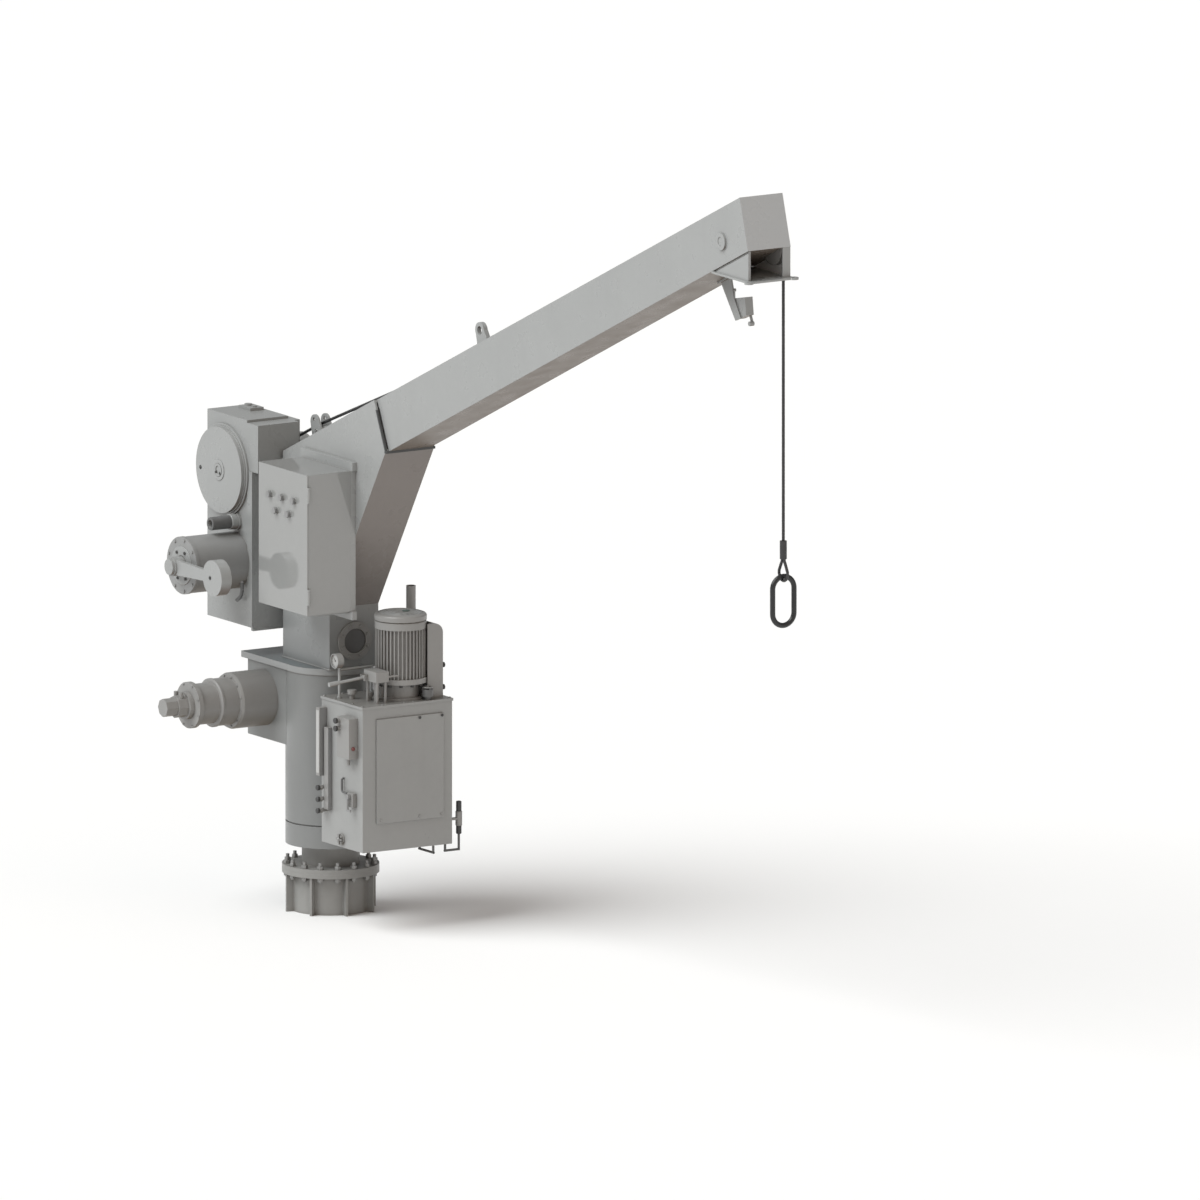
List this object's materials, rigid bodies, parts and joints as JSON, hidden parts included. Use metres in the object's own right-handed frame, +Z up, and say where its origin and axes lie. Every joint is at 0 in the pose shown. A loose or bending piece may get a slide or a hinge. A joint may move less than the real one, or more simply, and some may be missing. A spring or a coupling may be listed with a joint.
{
  "type": "slewing boat davit",
  "caption": "Slewing marine crane on a bolted pedestal: box boom with wire-rope winch, head sheave and suspension link, worm slewing drive, control cabinet and hydraulic power pack.",
  "frame": {"origin": "centre of the foundation's bottom face, on the slewing axis", "axes": "+Z up along the slewing axis, +X outboard along the boom, -Y the side of the control cabinet and winch covers"},
  "size_m": [5.657, 1.271, 4.7863],
  "materials": {
    "grey_paint": "satin",
    "dark_grey_paint": "satin",
    "steel": "machined",
    "bronze": "machined",
    "wire_rope": "greased",
    "black_steel": "satin",
    "black_plastic": "matte",
    "electrical_parts": "matte"
  },
  "bodies": {
    "pedestal": {"foundation_stub": "dark_grey_paint", "pedestal_pillar": "dark_grey_paint", "foundation_bolts": "steel", "worm_wheel": "bronze"},
    "column": {"slewing_column": "grey_paint", "column_end_ring": "grey_paint", "column_bearings": "steel", "column_top_plate": "grey_paint", "slewing_gear_housing": "grey_paint", "worm_bearings": "steel", "slewing_gearbox": "dark_grey_paint", "slewing_motor": "dark_grey_paint", "boom_post": "grey_paint", "access_port_ring": "dark_grey_paint", "boom": "grey_paint", "head_bracket": "grey_paint", "lifting_lug": "grey_paint", "rope_guide_bracket": "grey_paint", "roller_covers": "grey_paint", "head_sheave_pin": "steel", "boom_rope": "wire_rope", "limit_switch": "dark_grey_paint", "winch_frame": "grey_paint", "winch_casing": "grey_paint", "winch_cover": "grey_paint", "drum_end_cover": "grey_paint", "winch_motor": "grey_paint", "control_cabinet": "grey_paint", "cabinet_brackets": "grey_paint", "cabinet_internals": "electrical_parts", "oil_tank": "grey_paint", "tank_lid": "grey_paint", "tank_fittings": "dark_grey_paint", "tank_access_panel": "grey_paint", "pump_motor": "dark_grey_paint", "hand_pump": "dark_grey_paint", "pressure_gauge": "grey_paint"},
    "worm": {"worm_shaft": "steel"},
    "drum": {"rope_drum": "dark_grey_paint", "drum_gear": "steel"},
    "idler": {"idler_gear": "steel"},
    "pinion": {"motor_pinion": "steel"},
    "sheave": {"head_sheave": "dark_grey_paint"},
    "guide_roller_body": {"guide_roller": "steel"},
    "head_roller_body": {"head_roller": "steel"},
    "hook_end": {"fall_rope": "wire_rope", "rope_eye": "wire_rope"},
    "link": {"suspension_link": "black_steel"},
    "switch_arm": {"limit_switch_arm": "dark_grey_paint"},
    "brake": {"brake_lever": "grey_paint"},
    "door": {"cabinet_door": "grey_paint"},
    "hoist_button": {"button_hoist": "black_plastic"},
    "lower_button": {"button_lower": "black_plastic"},
    "stop_button": {"button_stop": "black_plastic"},
    "slew_left_button": {"button_slew_left": "black_plastic"},
    "slew_right_button": {"button_slew_right": "black_plastic"},
    "valve_handle": {"tank_valve_handle": "dark_grey_paint"},
    "pump_shaft": {"pump_rotor": "steel"},
    "pump_lever": {"hand_pump_lever": "steel"},
    "filler": {"filler_cap": "dark_grey_paint"}
  },
  "joints": [
    {"name": "slew", "type": "hinge", "parent": "pedestal", "child": "column", "pos_m": [0, 0, 0], "axis": [0, 0, 1], "range_deg": [-150, 150]},
    {"name": "worm_spin", "type": "hinge", "parent": "column", "child": "worm", "pos_m": [-0.33, 0, 1.176], "axis": [0, 1, 0], "range_deg": [-7100, 7100]},
    {"name": "drum_spin", "type": "hinge", "parent": "column", "child": "drum", "pos_m": [-0.631, 0, 2.432], "axis": [0, -1, 0], "range_deg": [0, 663]},
    {"name": "idler_spin", "type": "hinge", "parent": "column", "child": "idler", "pos_m": [-0.4973, 0, 2.15853], "axis": [0, -1, 0], "range_deg": [-740, 0]},
    {"name": "pinion_spin", "type": "hinge", "parent": "column", "child": "pinion", "pos_m": [-0.517, 0, 1.935], "axis": [0, -1, 0], "range_deg": [0, 1330]},
    {"name": "sheave_spin", "type": "hinge", "parent": "column", "child": "sheave", "pos_m": [4.593, 0, 4.4865], "axis": [0, -1, 0], "range_deg": [0, 724]},
    {"name": "guide_roller_spin", "type": "hinge", "parent": "column", "child": "guide_roller_body", "pos_m": [-0.26109, 0, 2.67107], "axis": [0, -1, 0], "range_deg": [0, 2390]},
    {"name": "head_roller_spin", "type": "hinge", "parent": "column", "child": "head_roller_body", "pos_m": [4.4136, 0, 4.4938], "axis": [0, -1, 0], "range_deg": [0, 3600]},
    {"name": "hook_hoist", "type": "slide", "parent": "column", "child": "hook_end", "axis": [0, 0, 1], "range_m": [0, 1.25], "deforming": ["fall_rope"]},
    {"name": "link_swing", "type": "hinge", "parent": "hook_end", "child": "link", "pos_m": [4.693, 0.105, 2.616], "axis": [0, 1, 0], "range_deg": [-60, 60]},
    {"name": "switch_arm_swing", "type": "hinge", "parent": "column", "child": "switch_arm", "pos_m": [4.268, 0.138, 4.05], "axis": [0, 1, 0], "range_deg": [-20, 20], "stiffness_Nm_per_rad": 2},
    {"name": "brake_release", "type": "hinge", "parent": "column", "child": "brake", "pos_m": [-0.517, -0.7, 1.935], "axis": [0, -1, 0], "range_deg": [0, 25]},
    {"name": "cabinet_door_hinge", "type": "hinge", "parent": "column", "child": "door", "pos_m": [0.54, -0.474, 0], "axis": [0, 0, 1], "range_deg": [0, 110]},
    {"name": "press_hoist", "type": "slide", "parent": "door", "child": "hoist_button", "axis": [0, 1, 0], "range_m": [0, 0.004], "stiffness_N_per_m": 600, "springref_m": -0.002},
    {"name": "press_lower", "type": "slide", "parent": "door", "child": "lower_button", "axis": [0, 1, 0], "range_m": [0, 0.004], "stiffness_N_per_m": 600, "springref_m": -0.002},
    {"name": "press_stop", "type": "slide", "parent": "door", "child": "stop_button", "axis": [0, 1, 0], "range_m": [0, 0.004], "stiffness_N_per_m": 600, "springref_m": -0.002},
    {"name": "press_slew_left", "type": "slide", "parent": "door", "child": "slew_left_button", "axis": [0, 1, 0], "range_m": [0, 0.004], "stiffness_N_per_m": 600, "springref_m": -0.002},
    {"name": "press_slew_right", "type": "slide", "parent": "door", "child": "slew_right_button", "axis": [0, 1, 0], "range_m": [0, 0.004], "stiffness_N_per_m": 600, "springref_m": -0.002},
    {"name": "valve_turn", "type": "hinge", "parent": "column", "child": "valve_handle", "pos_m": [0.724, -0.33, 0.78], "axis": [0, 1, 0], "range_deg": [0, 90]},
    {"name": "pump_spin", "type": "hinge", "parent": "column", "child": "pump_shaft", "pos_m": [0.652, 0.06, 1.4], "axis": [0, 0, 1], "continuous": true},
    {"name": "hand_pump_stroke", "type": "hinge", "parent": "column", "child": "pump_lever", "pos_m": [0.668, -0.189, 1.438], "axis": [-1, 0, 0], "range_deg": [0, 45]},
    {"name": "filler_turn", "type": "hinge", "parent": "column", "child": "filler", "pos_m": [0.796, 0.15, 1.32], "axis": [0, 0, 1], "range_deg": [0, 270]}
  ],
  "couplings": [
    {"joint": "worm_spin", "follows": "slew", "ratio": 47},
    {"joint": "idler_spin", "follows": "drum_spin", "ratio": -1.1111},
    {"joint": "pinion_spin", "follows": "drum_spin", "ratio": 2},
    {"joint": "sheave_spin", "follows": "drum_spin", "ratio": 1.08},
    {"joint": "guide_roller_spin", "follows": "drum_spin", "ratio": 3.6},
    {"joint": "head_roller_spin", "follows": "drum_spin", "ratio": 5.4},
    {"joint": "hook_hoist", "follows": "drum_spin", "m_per_rad": 0.108}
  ]
}
